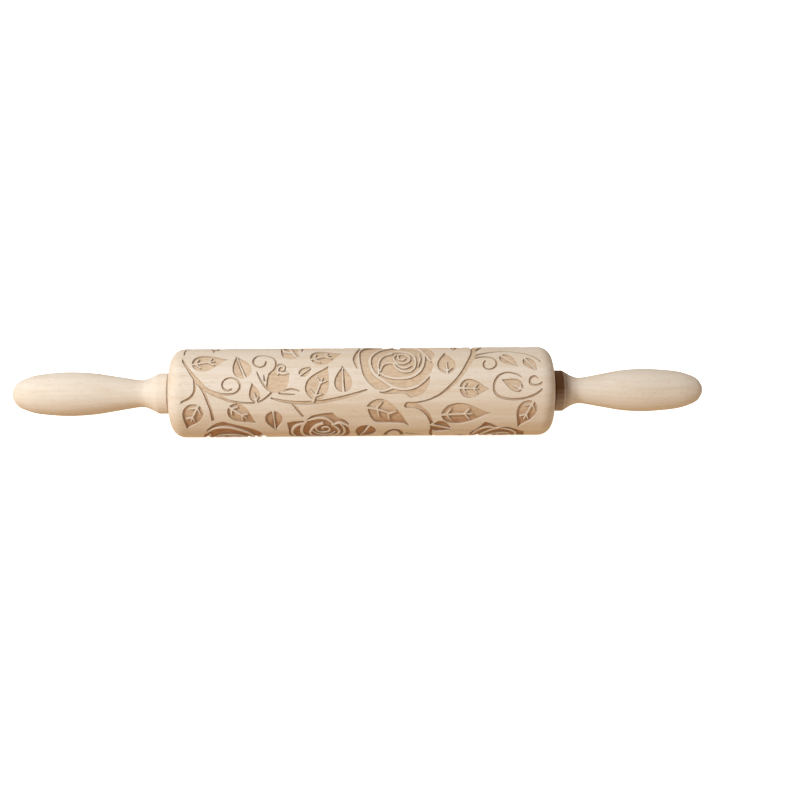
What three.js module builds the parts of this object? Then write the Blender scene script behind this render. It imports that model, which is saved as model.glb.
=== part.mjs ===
// Embossing rolling pin: an engraved wooden barrel that turns freely on a steel rod,
// with one turned wooden handle screwed on to each end of the rod.
//
// Millimetres, +Z up. The pin's axis is X, and the origin is on that axis, midway
// between the two handle tips. Each end is built in its own frame, whose origin is the
// middle of the barrel's end face and whose +X points out along the handle.
import * as THREE from 'three';

// ---- Driving dimensions -------------------------------------------------------------

const barrel = {
  length: 192.6,
  radius: 22.5,
  endRound: 7, // radius of the rounded edge at each end
  bore: 4.5, // radius of the hole that the rod passes through with room to spare
};

// The two handles are turned by hand, so they differ a little. The belly and the neck are
// a handle's widest and narrowest radii. The collar is the short cylinder at its inboard
// end, and neckFromFace is how far the neck is from the collar's inboard face. The belly
// stands at the fraction bellyAt of the way from the tip to the neck.
const handles = {
  left: { length: 79.0, belly: 11.2, bellyAt: 0.42, neck: 7.0, neckFromFace: 14.6, collar: 5.4 },
  right: { length: 75.6, belly: 10.9, bellyAt: 0.46, neck: 6.65, neckFromFace: 13.8, collar: 4.6 },
};
const collarRadius = 10.35;
const endGap = 1.4; // from the barrel's end face to the handle's collar

const rod = { radius: 3, threadRadius: 2.5, threadLength: 20 }; // 6 mm rod, M5 threads
const bush = { outer: 6, length: 16, flangeRadius: 9, flangeThickness: 2 };
const washer = { radius: 7, bore: 3.3, thickness: 0.8 };
const nut = { acrossFlats: 8, thickness: 2.7 };
const insert = { radius: 4, length: 13, flangeRadius: 5, flangeThickness: 1.2 };

const runningFit = 0.1; // radial clearance between the rod and a bush
const seatGap = 0.3; // clearance around a piece that is pressed or screwed into wood
const threadGap = 0.2; // radial clearance that stands in for a thread's engagement

const sides = { barrel: 64, handle: 40, small: 32 };

// ---- Materials ----------------------------------------------------------------------

function finish(color, roughness, metalness) {
  return new THREE.MeshStandardMaterial({ color, roughness, metalness });
}

const barrelWood = finish(0xe6d3b8, 0.62, 0);
const handleWood = finish(0xe8d8bf, 0.55, 0);
const steel = finish(0xb9bcc0, 0.3, 1);
const brass = finish(0xc9a24d, 0.35, 1);
const nylon = finish(0xe9e7df, 0.45, 0);

// ---- Turned solids ------------------------------------------------------------------

// A solid of revolution about X. The outline is a list of [x, radius] points that runs
// towards +X along the outside. It starts and ends on the axis, or, where the piece has a
// hole right through, it comes back along the hole and closes on itself. The flats touch
// the true circle, so the pin rests on a flat and its box has the true diameter.
function turned(name, outline, material, segments) {
  const toCorner = 1 / Math.cos(Math.PI / segments);
  const closed = outline[0][1] > 0 || outline.at(-1)[1] > 0;
  const points = outline.map(([x, radius]) => new THREE.Vector2(radius * toCorner, x));
  if (closed) points.push(points[0].clone());
  const geometry = new THREE.LatheGeometry(points, segments, Math.PI / segments);
  geometry.rotateZ(-Math.PI / 2);
  const mesh = new THREE.Mesh(geometry, material);
  mesh.name = name;
  return mesh;
}

// Points on a quarter circle from angle 'from' to angle 'to', in degrees, where 0 points
// along +X and 90 points away from the axis.
function arc(centreX, centreRadius, radius, from, to, steps) {
  return Array.from({ length: steps + 1 }, (_, i) => {
    const angle = THREE.MathUtils.degToRad(from + ((to - from) * i) / steps);
    return [centreX + radius * Math.cos(angle), centreRadius + radius * Math.sin(angle)];
  });
}

// ---- The barrel ---------------------------------------------------------------------

function makeBarrel() {
  const half = barrel.length / 2;
  const roundAt = half - barrel.endRound;
  const roundRadius = barrel.radius - barrel.endRound;
  const flangeSeat = { radius: bush.flangeRadius + seatGap, floor: half - bush.flangeThickness - seatGap };
  const bushSeat = { radius: bush.outer + seatGap, floor: half - bush.length - seatGap };
  const arcSteps = 5;
  const seat = [
    [half, flangeSeat.radius],
    [flangeSeat.floor, flangeSeat.radius],
    [flangeSeat.floor, bushSeat.radius],
    [bushSeat.floor, bushSeat.radius],
    [bushSeat.floor, barrel.bore],
  ];
  const outline = [
    ...arc(-roundAt, roundRadius, barrel.endRound, 180, 90, arcSteps),
    ...arc(roundAt, roundRadius, barrel.endRound, 90, 0, arcSteps),
    ...seat,
    ...seat.map(([x, radius]) => [-x, radius]).reverse(),
  ];
  return turned('barrel', outline, barrelWood, sides.barrel);
}

// ---- The rod ------------------------------------------------------------------------

// The rod's thick part ends at a shoulder at each end, where a jam nut seats. The
// shoulder stands a little proud of the washer, which leaves the barrel its end float.
const shoulderAt = endGap + seatGap;

function makeRod() {
  const shoulder = barrel.length / 2 + shoulderAt;
  const tip = shoulder + rod.threadLength;
  const chamfer = 0.6;
  const end = [
    [shoulder, rod.radius],
    [shoulder, rod.threadRadius],
    [tip - chamfer, rod.threadRadius],
    [tip, rod.threadRadius - chamfer],
    [tip, 0],
  ];
  const outline = [...end.map(([x, radius]) => [-x, radius]).reverse(), ...end];
  return turned('axle_rod', outline, steel, sides.small);
}

// ---- One end: bush, washer, jam nut, threaded insert and handle ------------------------

function makeBush(name) {
  const bore = rod.radius + runningFit;
  const outline = [
    [-bush.length, bore],
    [-bush.length, bush.outer],
    [-bush.flangeThickness, bush.outer],
    [-bush.flangeThickness, bush.flangeRadius],
    [0, bush.flangeRadius],
    [0, bore],
  ];
  return turned(name, outline, nylon, sides.small);
}

function makeWasher(name) {
  const outline = [
    [seatGap, washer.bore],
    [seatGap, washer.radius],
    [seatGap + washer.thickness, washer.radius],
    [seatGap + washer.thickness, washer.bore],
  ];
  return turned(name, outline, nylon, sides.small);
}

const nutAt = shoulderAt + seatGap;
const insertAt = nutAt + nut.thickness + seatGap;

function makeNut(name) {
  const hexagon = new THREE.Shape();
  const cornerRadius = nut.acrossFlats / 2 / Math.cos(Math.PI / 6);
  for (let i = 0; i < 6; i += 1) {
    const angle = (i * Math.PI) / 3;
    const corner = [cornerRadius * Math.cos(angle), cornerRadius * Math.sin(angle)];
    if (i === 0) hexagon.moveTo(...corner);
    else hexagon.lineTo(...corner);
  }
  hexagon.closePath();
  const hole = new THREE.Path();
  hole.absarc(0, 0, rod.threadRadius + threadGap, 0, 2 * Math.PI, true);
  hexagon.holes.push(hole);
  const geometry = new THREE.ExtrudeGeometry(hexagon, {
    depth: nut.thickness,
    bevelEnabled: false,
    curveSegments: sides.small,
  });
  geometry.rotateY(Math.PI / 2);
  const mesh = new THREE.Mesh(geometry, steel);
  mesh.name = name;
  mesh.position.x = nutAt;
  return mesh;
}

function makeInsert(name) {
  const bore = rod.threadRadius + threadGap;
  const outline = [
    [insertAt, bore],
    [insertAt, insert.flangeRadius],
    [insertAt + insert.flangeThickness, insert.flangeRadius],
    [insertAt + insert.flangeThickness, insert.radius],
    [insertAt + insert.length, insert.radius],
    [insertAt + insert.length, bore],
  ];
  return turned(name, outline, brass, sides.small);
}

// The grip's outline, from the flat nose at its tip to the neck, is one smooth curve
// through a few [distance from the tip, radius] points. It swells quickly to the belly,
// tapers to the neck and sweeps up the cove to the collar.
const nose = { radius: 2.8 };
const coveTop = 10.2; // radius where the cove meets the collar's sharp edge

function gripCurve({ length, belly, bellyAt, neck, neckFromFace, collar }) {
  const neckAt = length - neckFromFace;
  const swell = bellyAt * neckAt;
  const taper = neckAt - swell;
  const coveEnd = length - collar;
  return new THREE.SplineCurve([
    new THREE.Vector2(0, nose.radius),
    new THREE.Vector2(0.085 * swell, 0.54 * belly),
    new THREE.Vector2(0.25 * swell, 0.745 * belly),
    new THREE.Vector2(0.5 * swell, 0.9 * belly),
    new THREE.Vector2(swell, belly),
    new THREE.Vector2(swell + 0.36 * taper, 0.945 * belly),
    new THREE.Vector2(swell + 0.7 * taper, 0.45 * belly + 0.52 * neck),
    new THREE.Vector2(neckAt, neck),
    new THREE.Vector2(0.5 * (neckAt + coveEnd), neck + 0.9),
    new THREE.Vector2(coveEnd, coveTop),
  ]);
}

function makeHandle(name, size) {
  const face = endGap; // the collar's inboard face
  const tip = face + size.length;
  const chamfer = 0.4;
  const curveSteps = 18;
  const grip = gripCurve(size)
    .getPoints(curveSteps)
    .map(({ x, y }) => [tip - x, y])
    .reverse();
  // The pocket takes the insert's flange, which is wider than the nut in front of it.
  const nutPocket = {
    radius: insert.flangeRadius + seatGap,
    floor: insertAt + insert.flangeThickness + seatGap,
  };
  const insertHole = { radius: insert.radius + seatGap, floor: insertAt + insert.length + seatGap };
  const rodHole = { radius: rod.threadRadius + seatGap, floor: shoulderAt + rod.threadLength + 2 };
  const drillPoint = 2; // length of the cone that the drill leaves
  const outline = [
    [rodHole.floor + drillPoint, 0],
    [rodHole.floor, rodHole.radius],
    [insertHole.floor, rodHole.radius],
    [insertHole.floor, insertHole.radius],
    [nutPocket.floor, insertHole.radius],
    [nutPocket.floor, nutPocket.radius],
    [face, nutPocket.radius],
    [face, collarRadius - chamfer],
    [face + chamfer, collarRadius],
    [face + size.collar - chamfer, collarRadius],
    ...grip,
    [tip, 0],
  ];
  return turned(name, outline, handleWood, sides.handle);
}

function makeEnd(side) {
  const end = new THREE.Group();
  end.add(makeBush(`${side}_bushing`));
  end.add(makeWasher(`${side}_thrust_washer`));
  end.add(makeNut(`${side}_jam_nut`));
  end.add(makeInsert(`${side}_threaded_insert`));
  end.add(makeHandle(`${side}_handle`, handles[side]));
  return end;
}

// ---- The whole pin --------------------------------------------------------------------

// The origin is midway between the tips, so the longer left handle pushes the barrel
// a little way to the right.
const rollingPin = new THREE.Group();
rollingPin.name = 'rolling_pin';

const core = new THREE.Group();
core.position.x = (handles.left.length - handles.right.length) / 2;
rollingPin.add(core);

core.add(makeBarrel());
core.add(makeRod());

const rightEnd = makeEnd('right');
rightEnd.position.x = barrel.length / 2;
core.add(rightEnd);

const leftEnd = makeEnd('left');
leftEnd.position.x = -barrel.length / 2;
leftEnd.rotation.z = Math.PI;
core.add(leftEnd);

export default rollingPin;
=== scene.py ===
# Embossing rolling pin: the looks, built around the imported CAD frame.
#
# The barrel's engraving is real geometry. It is drawn flat, in millimetres, on the
# unrolled surface of the barrel, turned into a mesh and wrapped round the barrel.
import math
import random

import bpy
import numpy as np
from mathutils import Matrix, Vector
from mathutils.geometry import delaunay_2d_cdt


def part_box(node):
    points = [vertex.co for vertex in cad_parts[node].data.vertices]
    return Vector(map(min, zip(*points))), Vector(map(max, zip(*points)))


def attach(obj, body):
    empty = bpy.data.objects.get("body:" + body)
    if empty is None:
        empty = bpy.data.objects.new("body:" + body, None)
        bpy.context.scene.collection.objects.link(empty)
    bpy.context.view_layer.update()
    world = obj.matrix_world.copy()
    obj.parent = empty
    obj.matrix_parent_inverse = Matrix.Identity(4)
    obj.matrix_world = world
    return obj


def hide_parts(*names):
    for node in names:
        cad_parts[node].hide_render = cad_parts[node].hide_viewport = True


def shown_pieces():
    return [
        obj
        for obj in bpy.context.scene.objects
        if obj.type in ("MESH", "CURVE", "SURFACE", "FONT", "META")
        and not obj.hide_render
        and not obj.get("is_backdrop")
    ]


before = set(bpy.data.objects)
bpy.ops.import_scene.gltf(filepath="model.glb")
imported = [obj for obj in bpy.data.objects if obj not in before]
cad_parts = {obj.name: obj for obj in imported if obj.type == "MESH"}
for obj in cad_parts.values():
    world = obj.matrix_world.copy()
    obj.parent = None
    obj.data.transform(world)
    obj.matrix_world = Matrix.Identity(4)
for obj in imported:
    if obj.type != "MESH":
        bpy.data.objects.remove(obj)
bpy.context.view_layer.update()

MM = 0.001  # metres in a millimetre; shapes below are in millimetres


def new_object(name, data):
    item = bpy.data.objects.new(name, data)
    bpy.context.scene.collection.objects.link(item)
    return item


# ---- Sizes ----

barrel_low, barrel_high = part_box("barrel")
BARREL_MIDDLE = (barrel_low.x + barrel_high.x) / 2 / MM
BARREL_HALF = (barrel_high.x - barrel_low.x) / 2 / MM
BARREL_RADIUS = barrel_high.z / MM
END_ROUND = 7.0  # radius of the rounded edge at each end of the barrel
# The seat for a bush in the barrel's end, and the hole in a handle, as (radius, depth) corners.
SEAT = [(9.3, 0.0), (9.3, 2.3), (6.3, 2.3), (6.3, 16.3), (4.5, 16.3)]
HANDLE_HOLE = [(5.3, 5.1), (4.3, 5.1), (4.3, 16.9), (2.8, 16.9), (2.8, 22.3), (0.0, 24.3)]

STRAIGHT = BARREL_HALF - END_ROUND  # half the length of the barrel's straight part
GIRTH = 2 * math.pi * BARREL_RADIUS
FACING = math.radians(35)  # how far above the horizon the middle of the drawn front looks
ENGRAVED_DEPTH = 0.9
WALL = 0.28  # how far an engraved wall leans over its depth

# The handles' outlines, as in the CAD. The belly and the neck are a handle's widest and
# narrowest radii, and belly_at is the belly's place on the way from the tip to the neck.
NOSE_RADIUS = 2.8
COVE_TOP = 10.2
COLLAR_RADIUS = 10.35
COLLAR_CHAMFER = 0.4
HANDLES = {
    "left_handle": dict(belly=11.2, belly_at=0.42, neck=7.0, neck_from_face=14.6, collar=5.4),
    "right_handle": dict(belly=10.9, belly_at=0.46, neck=6.65, neck_from_face=13.8, collar=4.6),
}

# ---- The camera ----

VIEW_DISTANCE = 600 * MM
VIEW_ROLL = math.radians(-0.42)
VIEW_YAW = math.radians(-0.6)  # to the right, which puts the pin left of the middle
LENS = 52.95
SENSOR_WIDTH = 36
SHIFT = (0.0324, -0.010)
CLIP = (0.01, 20)


def make_camera():
    data = bpy.data.cameras.new("camera")
    data.sensor_width = SENSOR_WIDTH
    data.lens = LENS
    data.shift_x, data.shift_y = SHIFT
    data.clip_start, data.clip_end = CLIP
    camera = new_object("camera", data)
    towards = Vector((0, -math.cos(FACING), math.sin(FACING)))
    place = Matrix.Translation(Vector((BARREL_MIDDLE * MM, 0, 0)) + towards * VIEW_DISTANCE)
    turn = Matrix.Rotation(math.pi / 2 - FACING, 4, "X") @ Matrix.Rotation(VIEW_ROLL, 4, "Z")
    turn = turn @ Matrix.Rotation(VIEW_YAW, 4, "Y")
    camera.matrix_world = place @ turn
    bpy.context.scene.camera = camera


make_camera()

# ---- Drawing on the unrolled barrel ----
# u runs along the axis from the barrel's middle. v runs up round the front, and is 0 in
# the middle of the front. The far side of the barrel is where v is about 30 to 111.

CELL = 0.2  # spacing of the distance field
FAR = 4.0  # the field's value away from every shape
REACH = 1.6  # how far outside a shape the field is worked out
PLAIN_EDGE = 0.3  # plain strip kept at each end of the straight part
DRAWN_SCALE = 0.994  # how long the drawing is once it is set down on the barrel
DRAWN_SHIFT = 0.5  # how far along the barrel it is set down
TINY = 1e-12  # keeps a division by a length of nothing safe


def smooth(points, per=6):
    """A Catmull-Rom curve through the points. Extra columns, such as width, follow."""
    p = np.array(points, float)
    if len(p) < 3:
        return p
    p = np.vstack([2 * p[0] - p[1], p, 2 * p[-1] - p[-2]])
    t = np.linspace(0, 1, per, endpoint=False)[:, None]
    runs = []
    for a, b, c, d in zip(p, p[1:], p[2:], p[3:]):
        curve = 2 * b + (c - a) * t + (2 * a - 5 * b + 4 * c - d) * t**2
        curve += (3 * b - a - 3 * c + d) * t**3
        runs.append(0.5 * curve)
    return np.vstack(runs + [p[-2:-1]])


def outline(*runs):
    """A closed outline of smooth runs that meet at corners."""
    return np.vstack([smooth(run)[:-1] for run in runs])


def joined(runs):
    """A closed outline of runs, each without its first point: the last of the one before."""
    return outline(*([before[-1], *run] for before, run in zip([runs[-1], *runs], runs)))


def nearest(u, v, a, b):
    """How far along a straight piece its nearest point is, as a share, and how far off."""
    d = b[:2] - a[:2]
    t = np.clip(((u - a[0]) * d[0] + (v - a[1]) * d[1]) / max(d @ d, TINY), 0, 1)
    return t, np.hypot(u - a[0] - t * d[0], v - a[1] - t * d[1])


def line_distance(u, v, points):
    """Distance to a line whose third column is its width, less half that width."""
    best = np.full(u.shape, np.inf)
    for a, b in zip(points, points[1:]):
        t, gap = nearest(u, v, a, b)
        best = np.minimum(best, gap - (a[2] + (b[2] - a[2]) * t) / 2)
    return best


def area_distance(u, v, points):
    """Signed distance to a closed outline, below zero inside."""
    best = np.full(u.shape, np.inf)
    inside = np.zeros(u.shape, bool)
    for a, b in zip(points, np.roll(points, -1, 0)):
        best = np.minimum(best, nearest(u, v, a, b)[1])
        if a[1] != b[1]:
            crosses = (a[1] <= v) != (b[1] <= v)
            inside ^= crosses & (u < a[0] + (v - a[1]) / (b[1] - a[1]) * (b[0] - a[0]))
    return np.where(inside, -best, best)


def set_down(points):
    """Where drawn points go on the barrel. Extra columns, such as width, stay."""
    out = np.array(points, float)
    out[:, 0] = DRAWN_SCALE * out[:, 0] + DRAWN_SHIFT
    return out


class Sheet:
    """A distance field over the unrolled barrel: below zero where wood is cut away."""

    def __init__(self):
        self.u = np.linspace(-STRAIGHT, STRAIGHT, round(2 * STRAIGHT / CELL) + 1)
        self.rows = 2 * round(GIRTH / CELL / 2)
        self.step = GIRTH / self.rows
        self.field = np.full((self.rows, len(self.u)), FAR)

    def apply(self, points, distance, raised):
        points = set_down(points)
        grow = REACH + (points[:, 2].max() / 2 if points.shape[1] > 2 else 0)
        low = points[:, :2].min(0) - grow
        high = points[:, :2].max(0) + grow
        first, last = np.searchsorted(self.u, [low[0], high[0]])
        rows = np.arange(math.floor(low[1] / self.step), math.ceil(high[1] / self.step) + 1)
        if first == last:
            return
        u, v = np.meshgrid(self.u[first:last], rows * self.step)
        here = np.ix_(rows % self.rows, np.arange(first, last))
        d = distance(u, v, points)
        if raised:
            self.field[here] = np.maximum(self.field[here], -d)
        else:
            self.field[here] = np.minimum(self.field[here], d)

    def cut_area(self, points):
        self.apply(points, area_distance, False)

    def cut_line(self, points):
        self.apply(smooth(points), line_distance, False)

    def leave_line(self, points):
        self.apply(smooth(points), line_distance, True)

    def keep_ends(self):
        """Leaves a plain strip at both ends, so that no cut runs off the straight part."""
        self.field = np.maximum(self.field, np.abs(self.u)[None, :] - (STRAIGHT - PLAIN_EDGE))

    def at(self, u, v):
        """The field at points, by bilinear interpolation; v wraps round."""
        x = np.clip((np.asarray(u) + STRAIGHT) / (self.u[1] - self.u[0]), 0, len(self.u) - 1.001)
        y = np.mod(np.asarray(v) / self.step, self.rows)
        i = x.astype(int)
        j = y.astype(int) % self.rows
        fx = x - i
        fy = y - np.floor(y)
        k = (j + 1) % self.rows
        low = self.field[j, i] * (1 - fx) + self.field[j, i + 1] * fx
        high = self.field[k, i] * (1 - fx) + self.field[k, i + 1] * fx
        return low * (1 - fy) + high * fy


# ---- Motifs: leaves, vines and petal rims ----

# Half a leaf: (share of its length, share of its greatest half width).
LEAF_HALF = [
    (0, 0.1), (0.05, 0.5), (0.16, 0.86), (0.34, 1), (0.52, 0.87), (0.7, 0.56), (0.86, 0.22), (1, 0),
]
# A leaf's midrib and veins. Those along the leaf are shares of its length.
PLAIN_RIB_REACH = 0.88  # of a midrib without veins
RIB_REACH, RIB_REACH_PER_VEIN = 0.3, 0.16  # of one with pairs of veins
RIB_FOOT = -0.04
RIB_TAPER = 0.6
VEINS_FROM, VEINS_SPAN = 0.1, 0.36  # where the first pair stands, and all the others after it
VEIN_RISE = 0.2  # how far a vein leans forward, as a share of the leaf's width
VEIN_REACH = 0.6  # how far it goes towards the leaf's edge
VEIN_FOOT, VEIN_HEAD = 0.75, 0.4  # its width, as a share of the midrib's
RIM_TIP = 0.62  # a rim's width at its ends, as a share of its width in the middle
RIM_KEEPS = 0.6  # the share of that width that doesn't change with the rose's size
VINE_SPREAD = 1.15  # how much wider the cutter leaves every vine than its drawn width


def leaf_frame(base, tip):
    base, tip = np.array(base, float), np.array(tip, float)
    along = tip - base
    length = np.hypot(*along)
    along /= length
    across = np.array([-along[1], along[0]])

    def place(t, s):
        """The point a share t of the way to the tip and s mm to the left of the midrib."""
        return base + along * length * t + across * s

    return place, length


def leaf_outline(base, tip, left, right):
    place, _ = leaf_frame(base, tip)
    side = [place(t, left * s) for t, s in LEAF_HALF]
    other = [place(t, -right * s) for t, s in LEAF_HALF[::-1]]
    return outline(side, other)


def leaf(sheet, base, tip, width, veins=2, lean=0.0, rib=0.9):
    """A leaf cut away, with its midrib and so many pairs of veins left standing.

    lean makes its left half wider and its right half narrower; rib is the midrib's width.
    """
    left, right = width / 2 + lean, width / 2 - lean
    sheet.cut_area(leaf_outline(base, tip, left, right))
    place, length = leaf_frame(base, tip)
    reach = PLAIN_RIB_REACH if veins == 0 else RIB_REACH + RIB_REACH_PER_VEIN * veins
    steps = [RIB_FOOT, 0.3 * reach, 0.6 * reach, reach]
    sheet.leave_line([[*place(t, 0), rib * (1 - RIB_TAPER * t / reach)] for t in steps])
    for i in range(veins):
        start = VEINS_FROM + VEINS_SPAN * i / max(veins - 1, 1)
        end = start + VEIN_RISE * width / length
        for side, half in ((1, left), (-1, right)):
            foot = [*place(start, 0), VEIN_FOOT * rib]
            out = side * VEIN_REACH * half * np.interp(end, *zip(*LEAF_HALF))
            head = [*place(end, out), VEIN_HEAD * rib]
            sheet.leave_line([foot, head])


def line(sheet, *points):
    """A vine or tendril, as (u, v, width) points; a missing width repeats the last one."""
    rows, width = [], 1.0
    for p in points:
        width = p[2] * VINE_SPREAD if len(p) > 2 else width
        rows.append([p[0], p[1], width])
    sheet.cut_line(rows)


def rim(sheet, width, *points):
    """A petal's edge left standing, thinner at both ends."""
    n = len(points) - 1
    swell = [width * (RIM_TIP + (1 - RIM_TIP) * math.sin(math.pi * i / n)) for i in range(n + 1)]
    sheet.leave_line([[*p, w] for p, w in zip(points, swell)])


def placed(points, centre, turn, size, flip):
    """Points of a motif drawn round (0, 0), moved to where it goes."""
    c, s = math.cos(math.radians(turn)), math.sin(math.radians(turn))
    out = []
    for x, y in points:
        x, y = size * x * (-1 if flip else 1), size * y
        out.append((centre[0] + c * x - s * y, centre[1] + s * x + c * y))
    return out


# ---- Roses ----
# Each is drawn round its eye: the edges of its outer petals, each of which starts where the one
# before it ends, and the rims that stay standing inside it, as (width, points).

OPEN_PETALS = [
    [(-20.8, 8), (-21.1, 1.5), (-20.3, -5), (-19.4, -8.9)],
    [(-16.8, -12.8), (-13.2, -16.2), (-12.0, -17.0)],
    [(-10.5, -18.1), (-6, -18.6), (-1.5, -18.4), (1.6, -18.6), (4.2, -20.7)],
    [(6.5, -20), (9.5, -19), (12, -16.6), (13.6, -13), (14.0, -9.4)],
    [(14.8, -6.8), (15.9, -3.4)],
    [(15.4, -1.6), (14.7, -0.6)],
    [(16.6, 4.5), (15.4, 10), (11.5, 15.8), (5.6, 19)],
    [(1.5, 21.2), (-4.5, 21.2), (-9.2, 19)],
    [(-14.5, 17.8), (-18.3, 13.5)],
]
OPEN_RIMS = [
    (1.3, [(-4, 14.5), (-9.5, 10.5), (-13, 6.5), (-15.4, 2.5), (-16, -2), (-14.8, -6.4), (-12.4, -9.6),
           (-9, -12), (-5.4, -14.6), (-1.8, -15.9), (2.4, -16.1), (6.6, -15), (10.4, -12.4),
           (13.9, -8.7)]),
    (1.0, [(-13.2, -16.4), (-9.8, -17), (-6.8, -16.2), (-3.8, -15.2)]),
    (1.1, [(0, 17.2), (5, 15.4), (9, 11), (10.9, 5.4), (11.1, 0), (10, -4.8), (7.4, -8.2), (3.2, -10.3),
           (-2.2, -10.8), (-7.4, -9.9), (-11, -7.9)]),
    (0.9, [(14.4, -1), (12.4, 3.4), (10.3, 7.4)]),
    (0.9, [(-11.6, -8.6), (-11.8, -3), (-10.6, 1), (-8.4, 3.6), (-4.6, 5.2)]),
    (0.9, [(-10.8, -6.6), (-9.6, -3.6), (-7.2, -1.9), (-4, -1.9), (-3.6, -3.8), (-1.6, -6), (1.4, -7.3),
           (4.2, -7)]),
    (1.0, [(4.2, -7), (6.3, -4.6), (6.8, -0.4), (5.8, 3.6), (3, 6.4), (-1, 7.5), (-5, 6.4),
           (-8, 3.8)]),
    (0.9, [(-3.2, -2), (-1, -4.2), (1.6, -5), (4.6, -3.6)]),
    (0.8, [(-2.6, 4.6), (-4, 1.4), (-2.6, -1.4), (0.6, -2.4), (3.4, -0.9), (4, 1.8), (2.4, 4.2),
           (-0.4, 4.6), (-1.9, 2.8), (-1.2, 0.7), (0.9, 0.2), (1.9, 1.6)]),
    (0.8, [(8.6, 5.4), (9.1, 0.4), (8, -4)]),
]

# Half open, with one squared petal.
SQUARE_PETALS = [
    [(-14.5, 7.2), (-9.4, 7.4)],
    [(-8.6, 8.2), (-7.7, 8.8)],
    [(-5.5, 10.6), (-0.5, 11.8), (4.6, 12.3)],
    [(7, 9.6), (10.4, 8), (12.6, 5.6), (12.9, 3.4)],
    [(12.6, 1.6), (13.2, -2.6), (12.2, -7.4)],
    [(9.6, -10.6), (6, -12.8), (1.2, -13.4)],
    [(-4, -14), (-9.4, -12.4), (-12.6, -10)],
    [(-15.8, -8.8), (-17.6, -5), (-17.6, 0), (-18.2, 6.2)],
]
SQUARE_RIMS = [
    (1.3, [(-8.6, 8.6), (-9, 6.4), (-10.6, 3.4), (-11.2, -1.6), (-10, -6.2), (-6.6, -9.8),
           (-1.6, -11.2)]),
    (1.2, [(-9.6, 5.4), (-13.2, 4.2), (-15.4, 1.2), (-16, -3), (-14.6, -7.6)]),
    (1.1, [(-7.9, 7.4), (-3, 8.9), (0.8, 8.7), (3.4, 6.9), (5.4, 4.6)]),
    (1.1, [(4.8, 4.4), (8.2, 5.8), (11.2, 4.4), (12.9, 2.6)]),
    (1.0, [(-0.4, 5.6), (-3.4, 4), (-6, 0.6), (-7, -3.6), (-5.2, -7.4), (-1.2, -8.9), (3.6, -8.2),
           (7, -5.4)]),
    (1.0, [(4.4, 4.2), (6.8, 1.8), (7.8, -1.6), (6.4, -5.2), (3, -7.3)]),
    (1.0, [(8.4, 5.2), (10, 2.2), (10.4, -1.6), (9, -6), (5.8, -9.6), (1.6, -11)]),
    (0.8, [(-0.2, 5), (-2.8, 3.8), (-3.9, 1.6), (-3, -1), (-0.4, -2.2), (2.4, -1.2), (3, 1.2),
           (1.4, 2.8), (-0.6, 2.2), (-0.6, 0.6)]),
    (0.8, [(-5.4, -1.2), (-3.4, -4), (-0.2, -5.2), (3.4, -4.4), (5.4, -1.6)]),
]

# Round and full, with its petals folded over at the top.
ROUND_PETALS = [
    [(-12.4, 12.8), (-8.6, 16.3), (-4.8, 17.6), (-2.2, 16.8)],
    [(3, 15), (9, 12.6), (13, 9.6), (15, 5.5)],
    [(16, -1), (14, -7.5), (10, -12.5)],
    [(4, -16), (-3, -16.6), (-9, -14)],
    [(-14, -9), (-16, -2), (-15.6, 4), (-14.3, 8.4)],
]
ROUND_RIMS = [
    (1.2, [(-14, 8.2), (-10.5, 11.8), (-6, 13.2), (-1, 12.8), (3, 11), (5.6, 9.4), (8.4, 6.6), (9.4, 2),
           (8.6, -3), (5.6, -7.4), (1, -9.6)]),
    (1.1, [(14.6, 4.8), (12.6, 1.6), (12.2, -3), (9.6, -8.4), (5, -12), (-1, -13)]),
    (1.1, [(-8.8, 3), (-7, 5), (-2.4, 5.4), (2.2, 4.8), (5, 2.6), (5.6, -0.8)]),
    (1.0, [(-12.2, 6.6), (-12.8, 1), (-11.4, -5), (-7.6, -9.6), (-3, -11)]),
    (0.9, [(-8.8, 3), (-9.6, -0.6), (-7.6, -4.6), (-3.2, -6.8), (2, -5.6), (4.6, -2.2)]),
    (0.8, [(-5, 2.2), (-6, -0.6), (-3.8, -3.4), (-0.2, -3.8), (2.4, -1.6), (2.2, 1), (-0.4, 2.2),
           (-2.8, 0.8), (-2, -1.2)]),
]


def rose(sheet, petals, rims, centre, turn=0.0, size=1.0, flip=False):
    sheet.cut_area(joined([placed(run, centre, turn, size, flip) for run in petals]))
    for width, points in rims:
        width *= RIM_KEEPS + (1 - RIM_KEEPS) * size
        rim(sheet, width, *placed(points, centre, turn, size, flip))


def rosebud(sheet):
    """The bud on the main stem, with a curled petal at its top and sepals at its base."""
    sheet.cut_area(joined([
        [(-47.6, 3.2), (-47, 6.2), (-46, 9.8), (-43.8, 11.8), (-42.7, 14.5), (-40.4, 15.5),
         (-38, 13.8), (-38.2, 11.2)],
        [(-37.2, 10.9), (-36, 11.4)],
        [(-36.4, 8), (-36.9, 4), (-38.3, 1.5), (-41, 0.2), (-44.5, 0)],
    ]))
    rim(sheet, 1.0, (-42, 9.4), (-42.2, 12.4), (-40.8, 14.2), (-39.2, 13.5), (-39.2, 12), (-40.2, 11.7))
    rim(sheet, 0.9, (-41.8, 10.4), (-39.8, 9.7), (-38, 9.9), (-36.4, 10.3))
    line(sheet, (-52.4, 10.6, 0.6), (-50.3, 6, 0.9), (-47.7, 2.4, 1.0), (-44.6, 0.2))
    line(sheet, (-48.9, 9, 0.5), (-48.5, 6.2, 1.0))
    line(sheet, (-38.8, 0.9, 0.9), (-36, 1.6), (-33.4, 1.4, 0.8), (-31, 0.5, 0.5))
    line(sheet, (-41.2, -0.4, 0.9), (-37.5, -0.9), (-33.5, -1, 0.5))


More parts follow.
